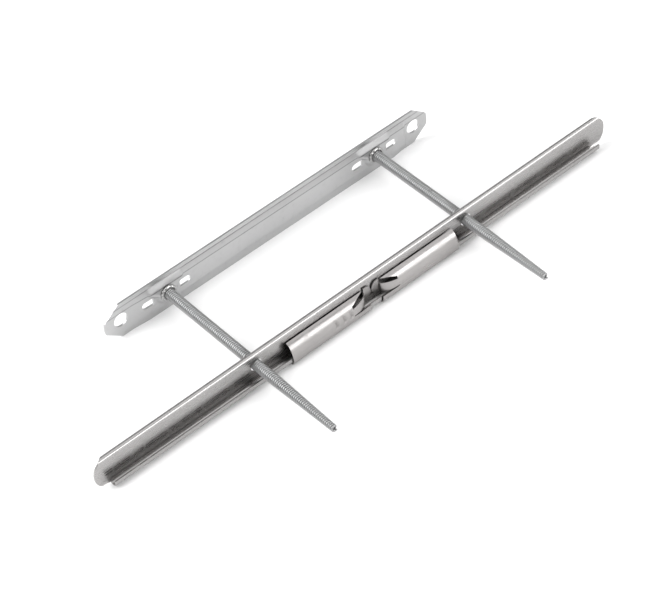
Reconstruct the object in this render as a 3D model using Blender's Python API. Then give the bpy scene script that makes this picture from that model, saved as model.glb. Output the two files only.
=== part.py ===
"""Two-post spring filing mechanism: base plate, two coil-spring posts, a J-section compressor bar that slides on
the posts, and two sleeves that slide along the bar.

Frame: metres, X along the plate and the bar, -Y out of the plate along the posts, +Z up. The plate and the bar
stand on their long edges on Z = 0, and the origin is under the middle of the whole mechanism: halfway along the
bar, and halfway from the back of the plate to the tips of the posts. Forward distances below are measured from the
back of the plate.
"""
import bpy
import bmesh
from math import asin, cos, degrees, pi, radians, sin, sqrt
from mathutils import Matrix, Vector

MM = 0.001

# posts
PITCH = 80.0            # standard two-hole filing pitch
POST_X = PITCH / 2
POST_Z = 6.7
POST_D = 3.4            # outside diameter of the close-wound coil
WIRE_D = 0.7
POST_START = 1.3        # coil begins this far in front of the plate's back
POST_LENGTH = 74.0      # tip, measured from the plate's back
TIP_D = 2.2
TAPER_START = 50.0
GAP = 0.3

# base plate
PLATE_H = 12.8
PLATE_T = 0.6
PLATE_X = 62.0          # half length
HOLE_X = 56.3
HOLE_Z = 6.6
HOLE_D = 4.8
SLOT_DX = 6.85          # slot centre from its post
SLOT_Z = 6.1
SLOT_L, SLOT_H = 4.0, 2.5
RAISE = 0.5             # the panel stands this far in front of the end lugs
PANEL_TOP = 9.2         # the panel's upper crease, and the top of its slope
SLOPE_TOP = 11.3
PANEL_X1, PANEL_X0 = 52.3, -45.5
BOSS = 0.75             # extra height of the boss round each post
BOSS_R, BOSS_RISE = 2.9, 1.2
COLLAR_D = 5.4

# compressor bar
BAR_Y = 40.8            # middle of its wall, in front of the plate's back
BAR_Z0 = 0.55
BAR_X = 97.0            # half length
BAR_T = 0.5
BAR_TOP = 10.95
GUTTER_R = 1.6          # outside radius of the forward curl
LIP_TOP = 3.15
LIP_X = BAR_X - 4.5     # the curl stops short of the wall's ends
ROLL_R = 0.95           # outside radius of the rolled top edge
BAR_HOLE_D = 4.1        # the posts pass through two round holes in the wall

# sleeves
SLEEVE_T = 0.3
SLEEVE_GAP = 0.25
SLEEVE_TOP = 7.75
MEET_X = 2.15           # where the two sleeves' flaps meet, with the sleeves as they stand
SLEEVE_OUT = 31.65      # outer end, from MEET_X
SLEEVE_IN = 2.25        # lower wrap ends here, from MEET_X
BEND_X = 8.6            # the front begins to bend in towards the wall here, from MEET_X
FLAP_X = 2.95           # bent part reaches the wall here

FOLD_Y = BAR_Y + BAR_T / 2 + POST_D / 2 + GAP   # axis on which a post's free end folds
PLATE_BACK = Vector((0, POST_LENGTH / 2, 0))      # from the origin to the back of the plate


for old in list(bpy.data.objects):
    bpy.data.objects.remove(old, do_unlink=True)


def material(name, colour, roughness, metallic=1.0):
    mat = bpy.data.materials.new(name)
    mat.use_nodes = True
    shader = mat.node_tree.nodes["Principled BSDF"]
    shader.inputs["Base Color"].default_value = (*colour, 1.0)
    shader.inputs["Roughness"].default_value = roughness
    shader.inputs["Metallic"].default_value = metallic
    return mat


SATIN = material("satin_nickel", (0.52, 0.52, 0.53), 0.42)
BRIGHT = material("bright_nickel", (0.62, 0.61, 0.60), 0.16)
SLEEVE_FINISH = material("sleeve_nickel", (0.66, 0.65, 0.64), 0.22)
COIL = material("spring_steel", (0.46, 0.46, 0.47), 0.3)
RIVET = material("rivet_steel", (0.58, 0.58, 0.58), 0.25)


def add(name, bm, mat, origin=(0, 0, 0), smooth=35):
    """A closed mesh, given in millimetres round its origin, becomes an object in metres.

    The origin is an (x, y, z) place measured from the back of the plate."""
    bm.normal_update()
    bm.transform(Matrix.Scale(MM, 4))
    mesh = bpy.data.meshes.new(name)
    bm.to_mesh(mesh)
    bm.free()
    mesh.materials.append(mat)
    mesh.shade_smooth()
    mesh.set_sharp_from_angle(angle=radians(smooth))
    obj = bpy.data.objects.new(name, mesh)
    obj.location = (Vector(origin) + PLATE_BACK) * MM
    bpy.context.scene.collection.objects.link(obj)
    return obj


def pivot(name, origin):
    empty = bpy.data.objects.new(name, None)
    empty.empty_display_size = 0.005
    empty.location = (Vector(origin) + PLATE_BACK) * MM
    bpy.context.scene.collection.objects.link(empty)
    return empty


def hang(obj, parent, place=(0, 0, 0)):
    """Parents an object to a pivot, at a place in millimetres from it."""
    obj.parent = parent
    obj.location = Vector(place) * MM


def turned(profile, steps=24):
    """Solid of revolution about Y from a closed outline of (radius, forward distance) points."""
    bm = bmesh.new()
    rings = []
    for r, y in profile:
        if r < 1e-6:
            rings.append([bm.verts.new((0, -y, 0))])
        else:
            angles = [2 * pi * k / steps for k in range(steps)]
            rings.append([bm.verts.new((r * cos(a), -y, r * sin(a))) for a in angles])
    for a, b in zip(rings, rings[1:] + rings[:1]):
        for k in range(steps):
            n = (k + 1) % steps
            corners = [a[k % len(a)], a[n % len(a)], b[n % len(b)], b[k % len(b)]]
            ring = [v for i, v in enumerate(corners) if v not in corners[:i]]
            if len(ring) > 2:
                bm.faces.new(ring)
    bmesh.ops.recalc_face_normals(bm, faces=bm.faces)
    return bm


def sheet(rows):
    """An open sheet from rows of points; neighbouring rows share their column count."""
    bm = bmesh.new()
    grid = [[bm.verts.new(p) for p in row] for row in rows]
    for a, b in zip(grid, grid[1:]):
        for k in range(len(a) - 1):
            bm.faces.new((a[k], a[k + 1], b[k + 1], b[k]))
    return bm


def thicken(obj, thickness):
    mod = obj.modifiers.new("sheet", "SOLIDIFY")
    mod.thickness = thickness * MM
    mod.offset = 0.0
    mod.use_even_offset = True
    mod.use_quality_normals = True
    return obj


def cutter(name, bm, origin):
    obj = add(name, bm, RIVET, origin)
    obj.hide_render = True
    obj.display_type = "WIRE"
    return obj


def cut(obj, tool):
    mod = obj.modifiers.new("cut", "BOOLEAN")
    mod.operation = "DIFFERENCE"
    mod.solver = "EXACT"
    mod.object = tool


def prism(outline, depth):
    """A prism from (x, z) corners, centred on Y = 0."""
    bm = bmesh.new()
    face = bm.faces.new([bm.verts.new((x, -depth / 2, z)) for x, z in outline])
    out = bmesh.ops.extrude_face_region(bm, geom=[face])
    moved = [v for v in out["geom"] if isinstance(v, bmesh.types.BMVert)]
    bmesh.ops.translate(bm, vec=(0, depth, 0), verts=moved)
    bmesh.ops.recalc_face_normals(bm, faces=bm.faces)
    return bm


def arc(cx, cz, r, start, end, steps):
    angles = [radians(start + (end - start) * k / steps) for k in range(steps + 1)]
    return [(cx + r * cos(a), cz + r * sin(a)) for a in angles]


def clamp(v):
    return max(0.0, min(1.0, v))


def smooth_step(v):
    v = clamp(v)
    return v * v * (3 - 2 * v)


# ---------------------------------------------------------------- base plate
def lug_end(z):
    """How far the plate reaches at height z: chamfered corners and a rounded tip."""
    mid = PLATE_H / 2
    d = abs(z - mid)
    tip = PLATE_X - 0.035 * d * d
    chamfer = HOLE_X + (mid - d) * 5.3 / 4.2
    return min(tip, chamfer + 0.15)


def relief(x, z):
    """How far the plate's sheet stands in front of the lugs' plane."""
    along = smooth_step((x - (PANEL_X0 - 8.0)) / 8.0) * (1 - smooth_step((x - PANEL_X1) / 0.9))
    up = 1 - clamp((z - PANEL_TOP) / (SLOPE_TOP - PANEL_TOP))
    corner = 1 - smooth_step((x - (PANEL_X1 - 5.0)) / 5.0) * smooth_step((2.4 - z) / 2.4)
    base = RAISE * along * up * corner
    boss = 0.0
    for px in (-POST_X, POST_X):
        dx, dz = abs(x - px), z - POST_Z
        if dz > 0:
            reach = BOSS_R + (5.6 - BOSS_R) * clamp(dz / (PANEL_TOP - POST_Z))
            fall = 1 - clamp((dz - 1.2) / (SLOPE_TOP - POST_Z - 1.2))
            boss = max(boss, smooth_step((reach + BOSS_RISE - dx) / BOSS_RISE) * fall)
        else:
            boss = max(boss, smooth_step((BOSS_R + BOSS_RISE - sqrt(dx * dx + dz * dz)) / BOSS_RISE))
    return base + BOSS * boss


def stations(start, end, fine, coarse):
    """X stations along the plate: fine round the posts, coarse elsewhere."""
    xs = [start]
    while xs[-1] < end - 1e-6:
        near = abs(abs(xs[-1] + 0.01) - POST_X) < 6.5
        xs.append(min(end, xs[-1] + (fine if near else coarse)))
    return xs


def base_plate():
    inner = stations(-HOLE_X, HOLE_X, 0.75, 3.3)
    heights = [0.0, 0.8, 2.0, 2.9, 3.6, 4.3, 5.1, 5.9, 6.7, 7.5, 8.3, 9.2, 10.2, 11.3, 12.1, 12.8]
    ends = [0.25, 0.5, 0.75, 1.0]
    rows = []
    for z in heights:
        reach = lug_end(z) - HOLE_X
        xs = [-HOLE_X - reach * t for t in reversed(ends)] + inner + [HOLE_X + reach * t for t in ends]
        rows.append([(x, -PLATE_T / 2 - relief(x, z), z) for x in xs])
    plate = add("base_plate", sheet(rows), SATIN)
    thicken(plate, PLATE_T)
    hole = [(HOLE_D / 2 * cos(2 * pi * k / 28), HOLE_D / 2 * sin(2 * pi * k / 28)) for k in range(28)]
    pin = [(1.75 * cos(2 * pi * k / 24), 1.75 * sin(2 * pi * k / 24)) for k in range(24)]
    for side, name in ((-1, "left"), (1, "right")):
        cut(plate, cutter(f"{name}_hole_cutter", prism(hole, 4), (side * HOLE_X, 0, HOLE_Z)))
        cut(plate, cutter(f"{name}_stud_cutter", prism(pin, 8), (side * POST_X, 0, POST_Z)))
        for away, part in ((-1, "outer"), (1, "inner")):
            # flat towards the post, round away from it
            half_l, half_h = SLOT_L / 2, SLOT_H / 2
            round_end = arc(half_l - half_h, 0, half_h, -90, 90, 8)
            d_shape = [(-half_l, -half_h)] + round_end + [(-half_l, half_h)]
            to = side * away * -1
            outline = [(x * to, z) for x, z in d_shape]
            where = (side * POST_X + to * SLOT_DX, -0.5, SLOT_Z)
            cut(plate, cutter(f"{name}_{part}_slot_cutter", prism(outline, 4), where))
    return plate


# ---------------------------------------------------------------- posts, collars and studs
def root_coil():
    r, bore = POST_D / 2, POST_D / 2 - WIRE_D
    end = FOLD_Y - POST_D / 2 - GAP
    return turned([(r, POST_START), (r, end), (bore, end), (bore, POST_START)])


def free_coil():
    """Free end of the post about its fold axis: ball end, taper and an open tip."""
    r = POST_D / 2
    start = [(r * sin(a), -r * cos(a)) for a in (radians(d) for d in range(0, 91, 15))]
    length = POST_LENGTH - FOLD_Y
    taper = TAPER_START - FOLD_Y
    tip, bore = TIP_D / 2, TIP_D / 2 - WIRE_D
    rounded = [(tip, length - 0.35), (tip - 0.25, length)]
    return turned(start + [(r, taper)] + rounded + [(bore, length), (bore, length - 8.0), (0, length - 8.6)])


def collar():
    """Pressed ring round the root of the post, standing on the boss."""
    foot = PLATE_T + RAISE + BOSS + 0.05
    return turned([(1.95, foot), (COLLAR_D / 2 - 0.15, foot), (COLLAR_D / 2, foot + 0.2),
                   (COLLAR_D / 2 - 0.25, foot + 0.55), (2.3, foot + 0.62), (2.0, foot + 0.45)])


def stud():
    """Headed stud that holds the coil: its head sits in the boss's hollow behind the plate."""
    core = POST_D / 2 - WIRE_D - 0.15
    back = RAISE + BOSS
    return turned([(0, 0.25), (2.2, 0.25), (2.2, back - 0.3), (1.0, back - 0.3), (1.0, 2.4), (core, 2.8),
                   (core, 6.2), (0.6, 6.9), (0, 6.9)], 20)


# ---------------------------------------------------------------- compressor bar
def bar_section():
    """(forward, height, end height) along the sheet's middle: lip, gutter, wall, rolled edge.

    The end height tells how the strip's end is cut there: None along the lip, or the height on the flat wall."""
    r = GUTTER_R - BAR_T / 2
    cz = BAR_Z0 + GUTTER_R
    lip = [(2 * r, LIP_TOP)]
    gutter = arc(r, cz, r, 0, -180, 12)
    rr = ROLL_R - BAR_T / 2
    roll = arc(-rr, BAR_TOP - ROLL_R, rr, 0, 245, 9)
    wall = [(0.0, cz + (BAR_TOP - ROLL_R - cz) * t) for t in (0.2, 0.5, 0.8)]
    rolled = [(y, z, BAR_TOP - ROLL_R * (1 - min(1.0, k / 4))) for k, (y, z) in enumerate(roll)]
    return [(y, z, None) for y, z in lip + gutter[:-3]] + [(y, z, z) for y, z in gutter[-3:] + wall] + rolled


def bar_reach(height):
    """Half length of the bar at this end height; the wall's ends are rounded over their height."""
    if height is None:
        return LIP_X
    half = (BAR_TOP - BAR_Z0) / 2
    t = min(1.0, abs(height - BAR_Z0 - half) / half)
    return BAR_X - 4.4 * (1 - sqrt(1 - 0.98 * t ** 2.4))


def compressor_bar():
    rows = []
    for y, z, end_height in bar_section():
        reach = bar_reach(end_height)
        xs = [LIP_X - 8 + (reach - LIP_X + 8) * t for t in (0.0, 0.5, 1.0)]
        rows.append([(x, -y, z) for x in [-x for x in reversed(xs)] + [0.0] + xs])
    bar = add("compressor_bar", sheet(rows), BRIGHT, (0, -BAR_Y, 0))
    thicken(bar, BAR_T)
    hole = arc(0, 0, BAR_HOLE_D / 2, 0, 345, 23)
    for side, name in ((-1, "left"), (1, "right")):
        cut(bar, cutter(f"{name}_bar_hole_cutter", prism(hole, 1.4), (side * POST_X, -BAR_Y, POST_Z)))
    return bar


# ---------------------------------------------------------------- sleeves
FRONT = 2 * GUTTER_R - BAR_T / 2 + SLEEVE_GAP + SLEEVE_T / 2     # forward distance of the sleeve's front sheet
NEAR = BAR_T / 2 + SLEEVE_GAP + SLEEVE_T / 2                      # and of the flap that lies along the wall
FLAP_LOW, FLAP_HIGH = 3.45, 6.6
LOBE_END = 40            # the slit at the inner end lies between these angles from the top
TAB_TOP = 52
STEPS = 9


def sleeve_section():
    """(forward, height, part) round the sleeve's middle surface, from the wall over the top and round the curl."""
    mid_r = FRONT - (GUTTER_R - BAR_T / 2)
    cy, cz = GUTTER_R - BAR_T / 2, BAR_Z0 + GUTTER_R

    def hoop(start, end, steps, part):
        """Points of the oval front, at angles from its top."""
        angles = [radians(start + (end - start) * k / steps) for k in range(steps + 1)]
        return [(FRONT * sin(a), cz + (SLEEVE_TOP - SLEEVE_T / 2 - cz) * cos(a), part) for a in angles]

    first = degrees(asin((NEAR - 0.1) / FRONT))
    front = hoop(first, LOBE_END, 4, "top") + hoop(LOBE_END + 4, TAB_TOP - 4, 1, "shoulder")
    front += hoop(TAB_TOP, 75, 4, "flap") + hoop(80, 85, 1, "wrap")
    return front + [(y, z, "wrap") for y, z in arc(cy, cz, mid_r, 0, -180, 14) + [(cy - mid_r, cz + 0.7)]]


def bend_path(forward, height, rank):
    """The front sheet bent in to the wall: (from MEET_X, forward, height) points. Rank 1 is its upper edge."""
    path = []
    for k in range(1, STEPS + 1):
        a = pi / 2 * k / STEPS
        t = k / STEPS
        end = FLAP_LOW + (FLAP_HIGH - FLAP_LOW) * rank
        z = height + (end - height) * t + 0.35 * rank * sin(pi * t)
        path.append((BEND_X - (BEND_X - FLAP_X) * sin(a), NEAR + (forward - NEAR) * cos(a) ** 0.9, z))
    return path


def sleeve(name, side):
    """One sleeve. Built for the right-hand side; the left-hand one is its mirror image."""
    xs_body = [SLEEVE_OUT, (SLEEVE_OUT + BEND_X) / 2, BEND_X + 2.4, BEND_X]
    section = sleeve_section()
    tab_top = max(z for _, z, part in section if part == "flap")
    tab_low = min(z for _, z, part in section if part == "flap")
    lobe_end = max(y for y, _, part in section if part == "top")
    grid = []
    for y, z, part in section:
        row = [(x, y, z) for x in xs_body]
        if part == "flap":
            row += bend_path(y, z, (z - tab_low) / (tab_top - tab_low))
        elif part == "top":
            end = 3.6 + 4.6 * (max(0.0, y - NEAR) / (lobe_end - NEAR)) ** 1.1
            row += [(BEND_X + (end - BEND_X) * k / STEPS, y, z) for k in range(1, STEPS + 1)]
        elif part == "shoulder":
            row += [None] * STEPS
        else:
            row += [(BEND_X + (SLEEVE_IN - BEND_X) * k / STEPS, y, z) for k in range(1, STEPS + 1)]
        grid.append((part, row))
    bm = bmesh.new()
    verts = [[None if p is None else bm.verts.new((p[0] * side, -p[1], p[2])) for p in row] for _, row in grid]
    for i in range(len(grid) - 1):
        same = grid[i][0] == grid[i + 1][0]
        for k in range(len(verts[i]) - 1):
            quad = (verts[i][k], verts[i][k + 1], verts[i + 1][k + 1], verts[i + 1][k])
            if None in quad or (k >= len(xs_body) - 1 and not same):
                continue
            bm.faces.new(quad if side < 0 else quad[::-1])
    # the bent end finishes in an upright flap that lies along the wall
    ends = [verts[i][-1] for i, (part, _) in enumerate(grid) if part == "flap"]
    outline = [8.2, 7.6, 7.1] + [v.co.z for v in ends]
    near_edge, far_edge = [], []
    for z in outline:
        bulge = sqrt(1 - ((z - 5.8) / 2.6) ** 2)
        match = [v for v in ends if abs(v.co.z - z) < 1e-6]
        near_edge.append(match[0] if match else bm.verts.new((FLAP_X * side, -NEAR, z)))
        far_edge.append(bm.verts.new(((FLAP_X - 0.4 - 2.4 * bulge) * side, -NEAR, z)))
    for a, b, c, d in zip(near_edge, far_edge, far_edge[1:], near_edge[1:]):
        bm.faces.new((a, b, c, d) if side < 0 else (d, c, b, a))
    obj = add(name, bm, SLEEVE_FINISH, (MEET_X, -BAR_Y, 0))
    return thicken(obj, SLEEVE_T)


# ---------------------------------------------------------------- assembly
base_plate()
bar_slide = pivot("bar_slide", (0, -BAR_Y, 0))
hang(compressor_bar(), bar_slide)
for side, name in ((-1, "left"), (1, "right")):
    at = Vector((side * POST_X, 0, POST_Z))
    add(f"{name}_collar", collar(), RIVET, at)
    add(f"{name}_stud", stud(), RIVET, at)
    add(f"{name}_post_root", root_coil(), COIL, at)
    fold = pivot(f"{name}_fold", at + Vector((0, -FOLD_Y, 0)))
    hang(add(f"{name}_post_tip", free_coil(), COIL), fold)
    hang(sleeve(f"{name}_sleeve", side), bar_slide, (MEET_X, 0, 0))
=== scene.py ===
"""Looks of a two-post spring filing mechanism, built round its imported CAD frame.

Lengths are millimetres until a mesh is made. Forward distances are measured from the back of the base
plate, along the posts (world -Y). The nickel-plated sheet parts, the coils, the collars and the studs are
finer versions of their CAD nodes and stand in the same places.
"""

from math import asin, cos, degrees, exp, pi, radians, sin, sqrt

import bmesh
import bpy
from mathutils import Matrix, Vector


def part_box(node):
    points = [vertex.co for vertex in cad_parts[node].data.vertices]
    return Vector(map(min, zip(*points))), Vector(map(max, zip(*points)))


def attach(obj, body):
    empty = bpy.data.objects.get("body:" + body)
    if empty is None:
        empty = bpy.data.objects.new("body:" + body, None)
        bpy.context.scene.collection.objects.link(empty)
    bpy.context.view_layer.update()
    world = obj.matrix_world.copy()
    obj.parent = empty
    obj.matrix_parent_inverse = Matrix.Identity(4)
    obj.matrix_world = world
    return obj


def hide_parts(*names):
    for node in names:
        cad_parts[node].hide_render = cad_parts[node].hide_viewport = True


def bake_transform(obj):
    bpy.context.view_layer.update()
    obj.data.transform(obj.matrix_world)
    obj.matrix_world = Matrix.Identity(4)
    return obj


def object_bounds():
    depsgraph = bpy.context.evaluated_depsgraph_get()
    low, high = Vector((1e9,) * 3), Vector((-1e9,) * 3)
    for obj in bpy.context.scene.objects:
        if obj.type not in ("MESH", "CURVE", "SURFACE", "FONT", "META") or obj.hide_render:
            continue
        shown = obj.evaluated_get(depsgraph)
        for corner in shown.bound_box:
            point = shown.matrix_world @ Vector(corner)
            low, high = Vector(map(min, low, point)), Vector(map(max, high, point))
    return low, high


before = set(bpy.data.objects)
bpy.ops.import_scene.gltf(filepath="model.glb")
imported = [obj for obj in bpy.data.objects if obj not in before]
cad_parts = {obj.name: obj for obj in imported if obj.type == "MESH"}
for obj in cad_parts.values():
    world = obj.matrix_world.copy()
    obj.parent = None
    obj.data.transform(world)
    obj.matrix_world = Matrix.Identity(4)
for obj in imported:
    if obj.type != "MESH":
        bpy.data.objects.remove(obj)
cad_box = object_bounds()

MM = 0.001


def box_mm(node):
    low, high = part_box(node)
    return low / MM, high / MM


PLATE_HIGH = box_mm("base_plate")[1]
BAR_LOW, BAR_HIGH = box_mm("compressor_bar")
ROOT_LOW, ROOT_HIGH = box_mm("right_post_root")
TIP_LOW, TIP_HIGH = box_mm("right_post_tip")
BACK = PLATE_HIGH.y                                 # world y of the plate's back
FLOOR = cad_box[0].z / MM

# posts
POST_X = (ROOT_LOW.x + ROOT_HIGH.x) / 2
POST_Z = (ROOT_LOW.z + ROOT_HIGH.z) / 2
POST_D = ROOT_HIGH.x - ROOT_LOW.x
POST_START = BACK - ROOT_HIGH.y
POST_LENGTH = BACK - TIP_LOW.y
TIP_D, TAPER_START = 2.2, 50.0
WIRE_D, WIRE_PITCH = 0.68, 0.70

# base plate
PLATE_H = PLATE_HIGH.z
PLATE_X = PLATE_HIGH.x
PLATE_T = 0.6
HOLE_X, HOLE_Z, HOLE_D = 56.3, 6.6, 4.8
SLOT_DX, SLOT_Z, SLOT_L, SLOT_H = 6.85, 6.1, 4.0, 2.5
RAISE = 0.5
PANEL_TOP, SLOPE_TOP = 9.2, 11.3
PANEL_X1, PANEL_X0 = 52.3, -45.5
PANEL_RAMP = 8.0                                    # the panel's left end rises over this length
PANEL_CORNER, CORNER_TOP = 5.0, 2.4                 # length and height of its rounded lower right corner
BOSS, BOSS_R, BOSS_RISE = 0.75, 2.9, 1.2
BOSS_FOOT = 5.6                                     # half width of a boss at the top of the panel
CREASE_WIDTHS, CREASE_DEPTHS = (0.16, 0.14), (0.07, 0.06)
LUG_CURVE = 0.035                                   # rounding of a lug's tip
CHAMFER_RUN, CHAMFER_RISE, CHAMFER_SHIFT = 5.3, 4.2, 0.15
POST_HOLE_R = 1.75
COLLAR_D = 5.4

# compressor bar
BAR_X = BAR_HIGH.x
BAR_T = 0.5
BAR_Y = 40.8                                        # middle of its wall
BAR_Z0, BAR_TOP = BAR_LOW.z, BAR_HIGH.z
GUTTER_R, ROLL_R = 1.6, 0.95
LIP_TOP = 3.15
LIP_X = BAR_X - 4.5
BAR_HOLE_D = 4.1
END_ROUND = 4.4                                     # the wall's corners are rounded back by about this

# sleeves
SLEEVE_T, SLEEVE_GAP = 0.3, 0.25
SLEEVE_TOP = 7.75
MEET_X = 2.15
SLEEVE_OUT, SLEEVE_IN, BEND_X, FLAP_X = 31.65, 2.25, 8.6, 2.95
FRONT = 2 * GUTTER_R - BAR_T / 2 + SLEEVE_GAP + SLEEVE_T / 2
NEAR = BAR_T / 2 + SLEEVE_GAP + SLEEVE_T / 2
FLAP_LOW, FLAP_HIGH = 3.45, 6.6
LOBE_END, TAB_TOP = 40, 52                          # the inner end's slit, as angles from the oval's top
STEPS = 24
GRIP_X = (-15.7, -12.8, -10.2)                      # the three pressed grip marks, from MEET_X
GRIP_Z, GRIP_HALF = 4.4, 1.4                        # middle of a mark, and half its height
GRIP_WIDTH, GRIP_BULGE = 0.42, 0.8
GRIP_DEPTH = 0.4                                    # at its middle; little of it is left at the lip
FLAP_MID, FLAP_HALF = 5.8, 2.6                      # the upright crescent, in height

# floor, light and camera
FLOOR_HALF = 1600.0
SKY = 0.5
LIGHTS = (                                          # name, place and size in metres, watts
    ("key", (-0.65, 0.35, 0.7), (0.9, 0.9), 13.0),
    ("front_strip", (0.4, -0.76, 0.38), (0.9, 0.44), 5.5),
    ("overhead", (0.4, -0.1, 0.95), (0.8, 0.9), 2.6),
)
AZIMUTH, ELEVATION, ROLL = 37.53, 46.50, -5.49      # degrees
AIM, DISTANCE = (-0.00624, 0.00304, 0.00217), 0.6997
LENS, SENSOR = 132.94, 36.0
NEAREST = 0.01                                      # nothing closer than this to the camera is drawn


# ---------------------------------------------------------------- materials
CLOUDS, SPOTS = (60, 60, 60), (420, 420, 420)       # noise frequencies, per metre
# painted shade along the plate's pressed creases: the dark and pale ends of its colour, and the stripe's
# half width in mm
PAINTED_CREASE_SHADE_DARK, PAINTED_CREASE_SHADE_PALE, PAINTED_CREASE_SHADE_HALF = (0.2, 0.2, 0.2), (0.24, 0.24, 0.24), 0.26
BUMP_STRENGTH, BUMP_DISTANCE = 0.6, 0.00004


class Nodes:
    """Short names for building one material's node tree."""

    def __init__(self, name):
        self.mat = bpy.data.materials.new(name)
        self.mat.use_nodes = True
        self.tree = self.mat.node_tree
        self.shader = self.tree.nodes["Principled BSDF"]
        self.place = self.new("ShaderNodeTexCoord").outputs["Object"]

    def new(self, kind, **settings):
        node = self.tree.nodes.new(kind)
        for key, value in settings.items():
            setattr(node, key, value)
        return node

    def link(self, a, b):
        self.tree.links.new(a, b)

    def noise(self, scale, detail=3.0, rough=0.5):
        """Noise over the object's own coordinates in metres, with a scale for each axis."""
        mapping = self.new("ShaderNodeMapping")
        mapping.inputs["Scale"].default_value = scale
        self.link(self.place, mapping.inputs["Vector"])
        node = self.new("ShaderNodeTexNoise")
        node.inputs["Scale"].default_value = 1.0
        node.inputs["Detail"].default_value = detail
        node.inputs["Roughness"].default_value = rough
        self.link(mapping.outputs["Vector"], node.inputs["Vector"])
        return node.outputs["Fac"]

    def ramp(self, source, low, high, start=0.3, end=0.7):
        node = self.new("ShaderNodeMapRange")
        node.inputs["From Min"].default_value = start
        node.inputs["From Max"].default_value = end
        node.inputs["To Min"].default_value = low
        node.inputs["To Max"].default_value = high
        self.link(source, node.inputs["Value"])
        return node.outputs["Result"]

    def tint(self, source, dark, light, start=0.3, end=0.7):
        node = self.new("ShaderNodeValToRGB")
        node.color_ramp.elements[0].position = start
        node.color_ramp.elements[0].color = (*dark, 1)
        node.color_ramp.elements[1].position = end
        node.color_ramp.elements[1].color = (*light, 1)
        self.link(source, node.inputs["Fac"])
        return node.outputs["Color"]

    def combine(self, kind, a, b):
        node = self.new("ShaderNodeMath", operation=kind)
        self.link(a, node.inputs[0])
        self.link(b, node.inputs[1])
        return node.outputs["Value"]

    def mix(self, factor, a, b):
        node = self.new("ShaderNodeMix", data_type="RGBA")
        self.link(factor, node.inputs["Factor"])
        self.link(a, node.inputs["A"])
        self.link(b, node.inputs["B"])
        return node.outputs["Result"]

    def stripe(self, height, half):
        """1 along a line at this height, falling to 0 at half a width from it; both in metres."""
        split = self.new("ShaderNodeSeparateXYZ")
        self.link(self.place, split.inputs["Vector"])
        away = self.new("ShaderNodeMath", operation="SUBTRACT")
        away.inputs[1].default_value = height
        self.link(split.outputs["Z"], away.inputs[0])
        distance = self.new("ShaderNodeMath", operation="ABSOLUTE")
        self.link(away.outputs["Value"], distance.inputs[0])
        return self.ramp(distance.outputs["Value"], 1.0, 0.0, 0.0, half)

    def bump(self, height, strength, distance):
        node = self.new("ShaderNodeBump")
        node.inputs["Strength"].default_value = strength
        node.inputs["Distance"].default_value = distance
        self.link(height, node.inputs["Height"])
        return node.outputs["Normal"]


def plated(name, colour, roughness, lines, grain, spread, line_bump=0.04, grain_bump=0.04, painted_shade_creases=()):
    """Nickel plate on steel: cloudy tone, rolling lines along the strip, fine grain and small rubbed spots.

    Pressed creases are given by their heights; along them a painted shade makes the colour darker and
    duller than the rest."""
    n = Nodes(name)
    cloud = n.noise(CLOUDS, 4.0)
    rolled = n.noise(lines, 2.0)
    fine = n.noise(grain, 3.0)
    spots = n.noise(SPOTS, 4.0, 0.65)
    tone = n.combine("ADD", n.ramp(cloud, 0.0, 0.6), n.ramp(rolled, 0.0, 0.4))
    dark = tuple(c * (1 - spread) for c in colour)
    light = tuple(min(1.0, c * (1 + spread)) for c in colour)
    base = n.tint(tone, dark, light, 0.1, 0.9)
    rubbed = n.tint(tone, tuple(c * 0.93 for c in dark), tuple(c * 0.97 for c in colour), 0.1, 0.9)
    finish = n.mix(n.ramp(spots, 0.0, 1.0, 0.66, 0.74), base, rubbed)
    # painted shade: a dark stripe of colour along each crease height
    for height in painted_shade_creases:
        painted_crease_shade = n.tint(tone, PAINTED_CREASE_SHADE_DARK, PAINTED_CREASE_SHADE_PALE)
        finish = n.mix(n.stripe(height * MM, PAINTED_CREASE_SHADE_HALF * MM), finish, painted_crease_shade)
    n.link(finish, n.shader.inputs["Base Color"])
    rough = n.combine("ADD", n.ramp(rolled, roughness * 0.75, roughness * 1.05),
                      n.ramp(spots, 0.0, roughness * 0.5, 0.5, 0.75))
    n.link(rough, n.shader.inputs["Roughness"])
    height = n.combine("ADD", n.ramp(rolled, 0.0, line_bump, 0.0, 1.0),
                       n.ramp(fine, 0.0, grain_bump, 0.0, 1.0))
    n.link(n.bump(height, BUMP_STRENGTH, BUMP_DISTANCE), n.shader.inputs["Normal"])
    n.shader.inputs["Metallic"].default_value = 1.0
    return n.mat


# the plate's two crease heights get a painted shade stripe in the colour
SATIN = plated("satin_nickel", (0.49, 0.49, 0.492), 0.42, (90, 1500, 1500), (3500, 3500, 3500),
               spread=0.03, grain_bump=0.12, painted_shade_creases=(PANEL_TOP, SLOPE_TOP))
BRIGHT = plated("bright_nickel", (0.37, 0.362, 0.358), 0.30, (25, 2600, 2600), (2600, 2600, 2600),
                spread=0.04, line_bump=0.025, grain_bump=0.02)
SHELL = plated("sleeve_nickel", (0.33, 0.318, 0.314), 0.35, (30, 2200, 2200), (2600, 2600, 2600),
               spread=0.05, line_bump=0.02, grain_bump=0.015)
COIL = plated("spring_steel", (0.35, 0.35, 0.352), 0.36, (1500, 300, 1500), (5000, 5000, 5000),
              spread=0.07, line_bump=0.0)
RIVET = plated("rivet_steel", (0.44, 0.44, 0.435), 0.3, (900, 900, 900), (3000, 3000, 3000),
               spread=0.08)


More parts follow.
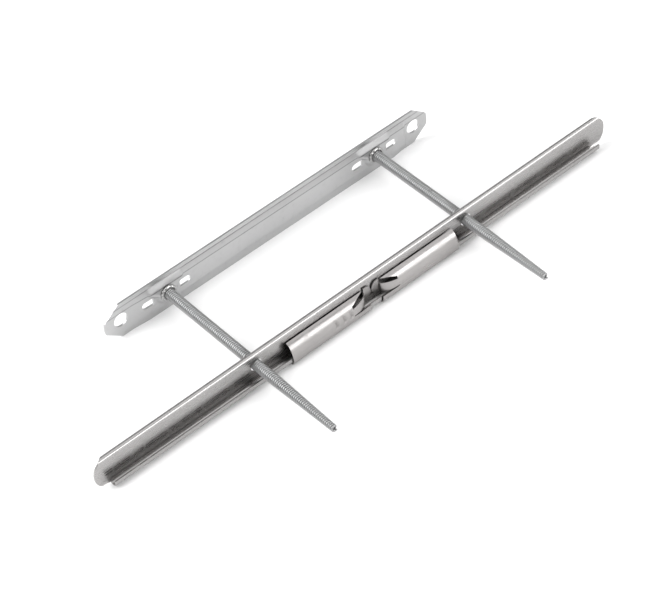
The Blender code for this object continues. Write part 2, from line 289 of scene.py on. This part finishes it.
# ---------------------------------------------------------------- mesh tools
def make(name, bm, mat, body, nodes, smooth=35, origin=(0, 0, 0)):
    """A mesh in millimetres, round an (x, forward, z) origin, becomes a piece of the object."""
    bm.normal_update()
    x, forward, z = origin
    bm.transform(Matrix.Scale(MM, 4) @ Matrix.Translation((x, BACK - forward, z)))
    mesh = bpy.data.meshes.new(name)
    bm.to_mesh(mesh)
    bm.free()
    mesh.materials.append(mat)
    mesh.shade_smooth()
    mesh.set_sharp_from_angle(angle=radians(smooth))
    obj = bpy.data.objects.new(name, mesh)
    bpy.context.scene.collection.objects.link(obj)
    if body:
        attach(obj, body)
    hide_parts(*nodes)
    return obj


def sheet(rows):
    """An open sheet from rows of (x, forward, z) points."""
    bm = bmesh.new()
    grid = [[bm.verts.new((x, -f, z)) for x, f, z in row] for row in rows]
    for a, b in zip(grid, grid[1:]):
        for k in range(len(a) - 1):
            bm.faces.new((a[k], a[k + 1], b[k + 1], b[k]))
    return bm


def thicken(obj, thickness):
    mod = obj.modifiers.new("sheet", "SOLIDIFY")
    mod.thickness = thickness * MM
    mod.offset = 0.0
    mod.use_even_offset = True
    mod.use_quality_normals = True
    return obj


def merge_flats(obj):
    """Joins the faces that lie in one plane, so that a bevel meets no slivers."""
    bm = bmesh.new()
    bm.from_mesh(obj.data)
    bmesh.ops.remove_doubles(bm, verts=bm.verts, dist=0.002 * MM)
    bmesh.ops.dissolve_limit(bm, angle_limit=radians(0.3), verts=bm.verts, edges=bm.edges)
    bm.to_mesh(obj.data)
    bm.free()


def break_edges(obj, width=0.08, angle=50):
    mod = obj.modifiers.new("broken_edges", "BEVEL")
    mod.width = width * MM
    mod.segments = 2
    mod.limit_method = "ANGLE"
    mod.angle_limit = radians(angle)
    mod.use_clamp_overlap = True
    mod.harden_normals = True


def turned(profile, steps=64, wobble=None):
    """Solid of revolution about the post's axis, from an outline of (radius, forward distance) points."""
    bm = bmesh.new()
    rings = []
    for r, f in profile:
        if r < 1e-6:
            rings.append([bm.verts.new((0, -f, 0))])
            continue
        ring = []
        for k in range(steps):
            a = 2 * pi * k / steps
            rr, ff = wobble(r, f, a) if wobble else (r, f)
            ring.append(bm.verts.new((rr * cos(a), -ff, rr * sin(a))))
        rings.append(ring)
    for a, b in zip(rings, rings[1:] + rings[:1]):
        for k in range(steps):
            n = (k + 1) % steps
            corners = [a[k % len(a)], a[n % len(a)], b[n % len(b)], b[k % len(b)]]
            ring = [v for i, v in enumerate(corners) if v not in corners[:i]]
            if len(ring) > 2:
                bm.faces.new(ring)
    bmesh.ops.recalc_face_normals(bm, faces=bm.faces)
    return bm


def prism(outline, depth):
    """A prism from (x, z) corners, centred on its origin along the posts."""
    bm = bmesh.new()
    face = bm.faces.new([bm.verts.new((x, -depth / 2, z)) for x, z in outline])
    out = bmesh.ops.extrude_face_region(bm, geom=[face])
    moved = [v for v in out["geom"] if isinstance(v, bmesh.types.BMVert)]
    bmesh.ops.translate(bm, vec=(0, depth, 0), verts=moved)
    bmesh.ops.recalc_face_normals(bm, faces=bm.faces)
    return bm


def cut(obj, outline, depth, origin, operation="DIFFERENCE"):
    """Cuts a piece with a prism and removes the cutter."""
    bm = prism(outline, depth)
    x, forward, z = origin
    bm.transform(Matrix.Scale(MM, 4) @ Matrix.Translation((x, BACK - forward, z)))
    mesh = bpy.data.meshes.new("cutter")
    bm.to_mesh(mesh)
    bm.free()
    tool = bpy.data.objects.new("cutter", mesh)
    bpy.context.scene.collection.objects.link(tool)
    mod = obj.modifiers.new("cut", "BOOLEAN")
    mod.operation = operation
    mod.solver = "EXACT"
    mod.object = tool
    settle(obj)
    bpy.data.objects.remove(tool, do_unlink=True)


def settle(obj):
    """Replaces the mesh by what its modifiers make of it."""
    graph = bpy.context.evaluated_depsgraph_get()
    mesh = bpy.data.meshes.new_from_object(obj.evaluated_get(graph))
    obj.modifiers.clear()
    obj.data = mesh


def arc(cx, cz, r, start, end, steps):
    angles = [radians(start + (end - start) * k / steps) for k in range(steps + 1)]
    return [(cx + r * cos(a), cz + r * sin(a)) for a in angles]


def circle(r, steps):
    return [(r * cos(2 * pi * k / steps), r * sin(2 * pi * k / steps)) for k in range(steps)]


def clamp(v):
    return max(0.0, min(1.0, v))


def smooth_step(v):
    v = clamp(v)
    return v * v * (3 - 2 * v)


def bell(v):
    return exp(-v * v)


# ---------------------------------------------------------------- base plate
def lug_end(z):
    """How far the plate reaches at height z: chamfered corners and a rounded tip."""
    mid = PLATE_H / 2
    d = abs(z - mid)
    tip = PLATE_X - LUG_CURVE * d * d
    chamfer = HOLE_X + (mid - d) * CHAMFER_RUN / CHAMFER_RISE
    return min(tip, chamfer + CHAMFER_SHIFT)


def plate_outline():
    right = [(lug_end(PLATE_H * k / 40), PLATE_H * k / 40) for k in range(41)]
    return right + [(-x, z) for x, z in reversed(right)]


def relief(x, z):
    """How far the plate's sheet stands in front of the lugs' plane."""
    left = smooth_step((x - (PANEL_X0 - PANEL_RAMP)) / PANEL_RAMP)
    along = left * (1 - smooth_step((x - PANEL_X1) / 0.9))
    up = 1 - clamp((z - PANEL_TOP) / (SLOPE_TOP - PANEL_TOP))
    right = smooth_step((x - (PANEL_X1 - PANEL_CORNER)) / PANEL_CORNER)
    corner = 1 - right * smooth_step((CORNER_TOP - z) / CORNER_TOP)
    base = RAISE * along * up * corner
    boss = 0.0
    for px in (-POST_X, POST_X):
        dx, dz = abs(x - px), z - POST_Z
        if dz > 0:
            reach = BOSS_R + (BOSS_FOOT - BOSS_R) * clamp(dz / (PANEL_TOP - POST_Z))
            fall = 1 - clamp((dz - 1.2) / (SLOPE_TOP - POST_Z - 1.2))
            boss = max(boss, smooth_step((reach + BOSS_RISE - dx) / BOSS_RISE) * fall)
        else:
            boss = max(boss, smooth_step((BOSS_R + BOSS_RISE - sqrt(dx * dx + dz * dz)) / BOSS_RISE))
    # the press leaves a fine crease along both edges of the slope
    crease = sum(bell((z - edge) / width) * depth for edge, width, depth
                 in zip((PANEL_TOP, SLOPE_TOP), CREASE_WIDTHS, CREASE_DEPTHS))
    return base + BOSS * boss - crease * along * (1 - boss)


def plate_stations():
    """Places along the plate for the sheet's columns, close together where its relief changes."""
    xs = [-PLATE_X - 0.5]
    while xs[-1] < PLATE_X + 0.5 - 1e-6:
        x = xs[-1] + 0.01
        near = (abs(abs(x) - POST_X) < 7.5 or PANEL_X1 - 6 < x < PANEL_X1 + 1.2
                or PANEL_X0 - PANEL_RAMP < x < PANEL_X0)
        xs.append(min(PLATE_X + 0.5, xs[-1] + (0.3 if near else 1.2)))
    return xs


def base_plate():
    heights = sorted({round(k * PLATE_H / 44, 3) for k in range(45)} | {-0.5, PLATE_H + 0.5}
                     | {round(z + d, 3) for z in (PANEL_TOP, SLOPE_TOP)
                        for d in (-0.3, -0.15, 0, 0.15, 0.3)})
    rows = [[(x, PLATE_T / 2 + relief(x, z), z) for x in plate_stations()] for z in heights]
    plate = make("base_plate_pressing", sheet(rows), SATIN, "base", ["base_plate"])
    thicken(plate, PLATE_T)
    settle(plate)
    cut(plate, plate_outline(), 6, (0, 0, 0), "INTERSECT")
    for side in (-1, 1):
        cut(plate, circle(HOLE_D / 2, 64), 4, (side * HOLE_X, 0, HOLE_Z))
        cut(plate, circle(POST_HOLE_R, 48), 8, (side * POST_X, 0, POST_Z))
        for away in (-1, 1):
            half_l, half_h = SLOT_L / 2, SLOT_H / 2
            round_end = arc(half_l - half_h, 0, half_h, -90, 90, 20)
            d_shape = [(-half_l, -half_h)] + round_end + [(-half_l, half_h)]
            to = -side * away
            cut(plate, [(x * to, z) for x, z in d_shape], 4, (side * POST_X + to * SLOT_DX, 0.5, SLOT_Z))
    merge_flats(plate)
    break_edges(plate, 0.06)
    return plate


# ---------------------------------------------------------------- posts, collars and studs
def post_radius(f):
    t = clamp((f - TAPER_START) / (POST_LENGTH - TAPER_START))
    return (POST_D + (TIP_D - POST_D) * t) / 2


def coil_mesh(steps=26, sides=8):
    """One close-wound helix of wire from the plate to the tip, about the post's axis."""
    bm = bmesh.new()
    wire = WIRE_D / 2
    first, last = POST_START + wire, POST_LENGTH - wire
    count = int((last - first) / WIRE_PITCH * steps)
    rings = []
    for k in range(count + 1):
        a = 2 * pi * k / steps
        f = first + WIRE_PITCH * k / steps
        r = post_radius(f) - wire
        out = Vector((cos(a), 0, sin(a)))
        centre = out * r + Vector((0, -f, 0))
        rings.append([bm.verts.new(centre + (out * cos(b) + Vector((0, 1, 0)) * sin(b)) * wire)
                      for b in (2 * pi * j / sides for j in range(sides))])
    for a, b in zip(rings, rings[1:]):
        for j in range(sides):
            n = (j + 1) % sides
            bm.faces.new((a[j], a[n], b[n], b[j]))
    bm.faces.new(rings[0][::-1])
    bm.faces.new(rings[-1])
    bmesh.ops.recalc_face_normals(bm, faces=bm.faces)
    return bm


def spring_post(name, side):
    nodes = [f"{name}_post_root", f"{name}_post_tip"]
    at = (side * POST_X, 0, POST_Z)
    post = make(f"{name}_spring_post", coil_mesh(), COIL, None, nodes, 60, at)
    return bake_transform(post)


def collar(name, side):
    """Pressed ring round the root of the post, crimped to the boss in six places."""
    foot = PLATE_T + RAISE + BOSS + 0.05
    outer = COLLAR_D / 2
    profile = [(1.95, foot), (outer - 0.12, foot), (outer, foot + 0.1), (outer, foot + 0.24),
               (outer - 0.12, foot + 0.42), (outer - 0.32, foot + 0.56), (2.25, foot + 0.62),
               (2.08, foot + 0.58), (1.98, foot + 0.42)]

    def crimp(r, f, a):
        notch = max(0.0, cos(6 * a)) ** 3 * clamp((r - 2.0) / 0.5)
        return r - 0.22 * notch, f - 0.12 * notch * clamp((f - foot) / 0.3)

    return make(f"{name}_crimped_collar", turned(profile, 96, crimp), RIVET, "base", [f"{name}_collar"],
                40, (side * POST_X, 0, POST_Z))


def stud(name, side):
    """Headed stud that holds the coil, with its head in the boss's hollow behind the plate."""
    core = POST_D / 2 - WIRE_D - 0.17
    back = RAISE + BOSS
    head = [(0, 0.25), (1.7, 0.25), (2.1, 0.32), (2.2, 0.42), (2.2, back - 0.4), (2.1, back - 0.3)]
    shank = [(1.0, back - 0.3), (1.0, 2.4), (core, 2.8), (core, 6.2), (core * 0.7, 6.8), (0, 6.9)]
    return make(f"{name}_headed_stud", turned(head + shank, 48), RIVET, "base", [f"{name}_stud"],
                35, (side * POST_X, 0, POST_Z))


# ---------------------------------------------------------------- compressor bar
def bar_section():
    """(forward of the wall's middle, height, end height) along the sheet: lip, gutter, wall, rolled edge.

    The end height says how the strip's end is cut there: None along the lip, or the height on the wall."""
    r = GUTTER_R - BAR_T / 2
    cz = BAR_Z0 + GUTTER_R
    lip = [(2 * r, LIP_TOP), (2 * r, LIP_TOP - 0.3), (2 * r, LIP_TOP - 0.7)]
    gutter = arc(r, cz, r, 0, -180, 32)
    rr = ROLL_R - BAR_T / 2
    roll = arc(-rr, BAR_TOP - ROLL_R, rr, 0, 245, 26)
    wall = [(0.0, cz + (BAR_TOP - ROLL_R - cz) * k / 8) for k in range(1, 8)]
    rolled = [(f, z, BAR_TOP - ROLL_R * (1 - min(1.0, k / 12))) for k, (f, z) in enumerate(roll)]
    front = [(f, z, None) for f, z in lip + gutter[:-8]]
    return front + [(f, z, z) for f, z in gutter[-8:] + wall] + rolled


def bar_reach(height):
    """Half length of the bar at this end height; the wall's ends are rounded over their height."""
    if height is None:
        return LIP_X
    half = (BAR_TOP - BAR_Z0) / 2
    t = min(1.0, abs(height - BAR_Z0 - half) / half)
    return BAR_X - END_ROUND * (1 - sqrt(1 - 0.98 * t ** 2.4))


def compressor_bar():
    rows = []
    ends = 6
    start = LIP_X - 8
    for f, z, end_height in bar_section():
        reach = bar_reach(end_height)
        xs = [start * k / 16 for k in range(17)]
        xs += [start + (reach - start) * k / ends for k in range(1, ends + 1)]
        rows.append([(x, BAR_Y + f, z) for x in [-x for x in reversed(xs[1:])] + xs])
    bar = make("compressor_bar_strip", sheet(rows), BRIGHT, "bar", ["compressor_bar"])
    thicken(bar, BAR_T)
    settle(bar)
    for side in (-1, 1):
        cut(bar, arc(0, 0, BAR_HOLE_D / 2, 0, 354, 59), 1.4, (side * POST_X, BAR_Y, POST_Z))
    merge_flats(bar)
    break_edges(bar)
    return bar


# ---------------------------------------------------------------- sleeves
def sleeve_section():
    """(forward, height, part) round the sleeve's middle surface, from the wall over the top to the curl."""
    mid_r = FRONT - (GUTTER_R - BAR_T / 2)
    cy, cz = GUTTER_R - BAR_T / 2, BAR_Z0 + GUTTER_R

    def hoop(start, end, steps, part):
        """Points of the oval front, at angles from its top."""
        angles = [radians(start + (end - start) * k / steps) for k in range(steps + 1)]
        return [(FRONT * sin(a), cz + (SLEEVE_TOP - SLEEVE_T / 2 - cz) * cos(a), part) for a in angles]

    first = degrees(asin((NEAR - 0.1) / FRONT))
    front = hoop(first, LOBE_END, 12, "top") + hoop(LOBE_END + 2, TAB_TOP - 2, 4, "shoulder")
    front += hoop(TAB_TOP, 75, 14, "flap") + hoop(79, 87, 4, "wrap")
    lower = arc(cy, cz, mid_r, 0, -180, 30) + [(cy - mid_r, cz + 0.35), (cy - mid_r, cz + 0.7)]
    return front + [(f, z, "wrap") for f, z in lower]


def bend_path(forward, height, rank):
    """Points of the front sheet where it bends in to the wall. Rank 1 is its upper edge."""
    path = []
    for k in range(1, STEPS + 1):
        a = pi / 2 * k / STEPS
        t = k / STEPS
        end = FLAP_LOW + (FLAP_HIGH - FLAP_LOW) * rank
        z = height + (end - height) * t + 0.35 * rank * sin(pi * t)
        path.append((BEND_X - (BEND_X - FLAP_X) * sin(a), NEAR + (forward - NEAR) * cos(a) ** 0.9, z))
    return path


def grip(x, f, z):
    """A point with the left sleeve's grip marks pressed in: three arcs that bulge towards the middle."""
    depth = 0.0
    for gx in GRIP_X:
        dz = (z - GRIP_Z) / GRIP_HALF
        if abs(dz) < 1 and f > 1.5:
            centre = gx + GRIP_BULGE * (1 - dz * dz)
            depth = max(depth, GRIP_DEPTH * bell((x - centre) / GRIP_WIDTH) * (1 - dz * dz))
    return x, f - depth, z


def sleeve(name, side):
    """One sleeve. Built for the right-hand side; the left-hand one is its mirror image, with grip marks."""
    count = 96
    xs_body = [SLEEVE_OUT + (BEND_X - SLEEVE_OUT) * k / count for k in range(count + 1)]
    section = sleeve_section()
    tab_top = max(z for _, z, part in section if part == "flap")
    tab_low = min(z for _, z, part in section if part == "flap")
    lobe_end = max(f for f, _, part in section if part == "top")
    grid = []
    for f, z, part in section:
        row = [(x, f, z) for x in xs_body]
        if side < 0:
            row = [(-px, pf, pz) for px, pf, pz in (grip(-x, f, z) for x in xs_body)]
        if part == "flap":
            row += bend_path(f, z, (z - tab_low) / (tab_top - tab_low))
        elif part == "top":
            end = 3.6 + 4.6 * (max(0.0, f - NEAR) / (lobe_end - NEAR)) ** 1.1
            row += [(BEND_X + (end - BEND_X) * k / STEPS, f, z) for k in range(1, STEPS + 1)]
        elif part == "shoulder":
            row += [None] * STEPS
        else:
            row += [(BEND_X + (SLEEVE_IN - BEND_X) * k / STEPS, f, z) for k in range(1, STEPS + 1)]
        grid.append((part, row))
    bm = bmesh.new()
    verts = [[None if p is None else bm.verts.new((p[0] * side, -p[1], p[2])) for p in row]
             for _, row in grid]
    for i in range(len(grid) - 1):
        same = grid[i][0] == grid[i + 1][0]
        for k in range(len(verts[i]) - 1):
            quad = (verts[i][k], verts[i][k + 1], verts[i + 1][k + 1], verts[i + 1][k])
            if None in quad or (k >= len(xs_body) - 1 and not same):
                continue
            bm.faces.new(quad if side < 0 else quad[::-1])
    upright_flap(bm, [verts[i][-1] for i, (part, _) in enumerate(grid) if part == "flap"], side)
    shell = make(f"{name}_sleeve_shell", bm, SHELL, f"{name}_sleeve", [f"{name}_sleeve"],
                 35, (MEET_X, BAR_Y, 0))
    thicken(shell, SLEEVE_T)
    settle(shell)
    break_edges(shell, 0.05)
    return shell


def upright_flap(bm, ends, side):
    """The bent end finishes in an upright crescent that lies along the wall."""
    outline = [8.2, 8.05, 7.9, 7.7, 7.5, 7.3, 7.1, 6.85] + [v.co.z for v in ends]
    columns = []
    for z in outline:
        bulge = sqrt(1 - ((z - FLAP_MID) / FLAP_HALF) ** 2)
        match = [v for v in ends if abs(v.co.z - z) < 1e-6]
        near = match[0] if match else bm.verts.new((FLAP_X * side, -NEAR, z))
        reach = 0.4 + 2.4 * bulge
        columns.append([near] + [bm.verts.new(((FLAP_X - reach * t) * side, -NEAR, z))
                                 for t in (0.33, 0.67, 1.0)])
    for a, b in zip(columns, columns[1:]):
        for k in range(3):
            quad = (a[k], a[k + 1], b[k + 1], b[k])
            bm.faces.new(quad if side < 0 else quad[::-1])


# ---------------------------------------------------------------- assembly
base_plate()
compressor_bar()
for side, name in ((-1, "left"), (1, "right")):
    collar(name, side)
    stud(name, side)
    spring_post(name, side)
    sleeve(name, side)


# ---------------------------------------------------------------- floor, light and camera
def floor():
    half, z = FLOOR_HALF * MM, FLOOR * MM
    corners = [(-half, -half, z), (half, -half, z), (half, half, z), (-half, half, z)]
    mesh = bpy.data.meshes.new("floor")
    mesh.from_pydata(corners, [], [(0, 1, 2, 3)])
    mat = bpy.data.materials.new("pale_floor")
    mat.use_nodes = True
    shader = mat.node_tree.nodes["Principled BSDF"]
    shader.inputs["Base Color"].default_value = (0.9, 0.9, 0.9, 1)
    shader.inputs["Roughness"].default_value = 0.6
    mesh.materials.append(mat)
    obj = bpy.data.objects.new("floor", mesh)
    bpy.context.scene.collection.objects.link(obj)


def softbox(name, place, size, power):
    """A rectangular area light that faces the object, in metres and watts."""
    data = bpy.data.lights.new(name, "AREA")
    data.shape = "RECTANGLE"
    data.size, data.size_y = size
    data.energy = power
    obj = bpy.data.objects.new(name, data)
    obj.location = place
    obj.rotation_euler = (-Vector(place)).to_track_quat("-Z", "Y").to_euler()
    bpy.context.scene.collection.objects.link(obj)


def studio():
    world = bpy.data.worlds.new("studio")
    world.use_nodes = True
    back = world.node_tree.nodes["Background"]
    back.inputs["Color"].default_value = (1.0, 1.0, 1.0, 1.0)
    back.inputs["Strength"].default_value = SKY
    bpy.context.scene.world = world
    for light in LIGHTS:
        softbox(*light)
    bpy.context.scene.view_settings.view_transform = "Standard"


def camera():
    azimuth, elevation, roll = radians(AZIMUTH), radians(ELEVATION), radians(ROLL)
    ahead = Vector((sin(azimuth) * cos(elevation), cos(azimuth) * cos(elevation), -sin(elevation)))
    level = Vector((cos(azimuth), -sin(azimuth), 0))
    upward = level.cross(ahead)
    right = level * cos(roll) + upward * sin(roll)
    above = -level * sin(roll) + upward * cos(roll)
    data = bpy.data.cameras.new("camera")
    data.lens = LENS
    data.sensor_width = SENSOR
    data.clip_start = NEAREST
    obj = bpy.data.objects.new("camera", data)
    turn = Matrix((right, above, -ahead)).transposed().to_4x4()
    obj.matrix_world = Matrix.Translation(Vector(AIM) - ahead * DISTANCE) @ turn
    bpy.context.scene.collection.objects.link(obj)
    bpy.context.scene.camera = obj


floor()
studio()
camera()
